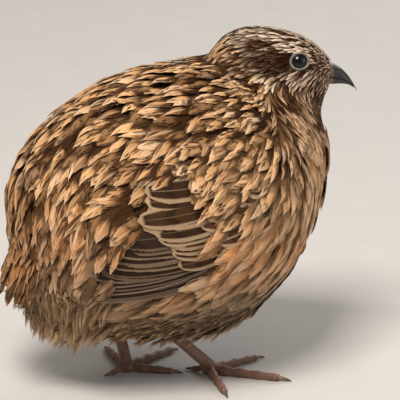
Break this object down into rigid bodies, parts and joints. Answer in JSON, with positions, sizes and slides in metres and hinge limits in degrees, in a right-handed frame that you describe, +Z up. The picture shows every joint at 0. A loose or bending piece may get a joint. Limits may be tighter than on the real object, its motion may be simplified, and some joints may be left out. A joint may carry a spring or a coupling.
{
  "type": "coturnix quail",
  "caption": "small plump ground bird standing still with fluffed plumage, folded wings, a short drooping tail, a short hooked bill and bare legs, life-size display model",
  "frame": {"origin": "middle of the footprint of the whole bird at floor level", "axes": "+X from tail to breast, the way the body faces; +Y the bird's left; +Z up"},
  "size_m": [0.122, 0.0908, 0.1168],
  "materials": {
    "back_plumage": "matt layered feathers",
    "neck_plumage": "matt short feathers",
    "head_plumage": "matt fine feathers",
    "wing_plumage": "smooth stiff feathers",
    "tail_plumage": "soft feathers",
    "leg_plumage": "matt downy feathers",
    "bill_horn": "dark polished horn",
    "eye_gloss": "wet dark eye",
    "leg_skin": "scaled bare skin",
    "claw_horn": "dull horn"
  },
  "bodies": {
    "root": {"torso": "back_plumage", "neck": "neck_plumage", "head": "head_plumage", "bill_upper": "bill_horn", "bill_lower": "bill_horn", "eye_left": "eye_gloss", "eye_right": "eye_gloss", "wing_left": "wing_plumage", "wing_right": "wing_plumage", "tail": "tail_plumage", "thigh_left": "leg_plumage", "thigh_right": "leg_plumage", "tarsus_left": "leg_skin", "tarsus_right": "leg_skin", "foot_left": "leg_skin", "foot_right": "leg_skin", "claw_left_inner": "claw_horn", "claw_left_middle": "claw_horn", "claw_left_outer": "claw_horn", "claw_left_hind": "claw_horn", "claw_right_inner": "claw_horn", "claw_right_middle": "claw_horn", "claw_right_outer": "claw_horn", "claw_right_hind": "claw_horn"}
  },
  "joints": []
}
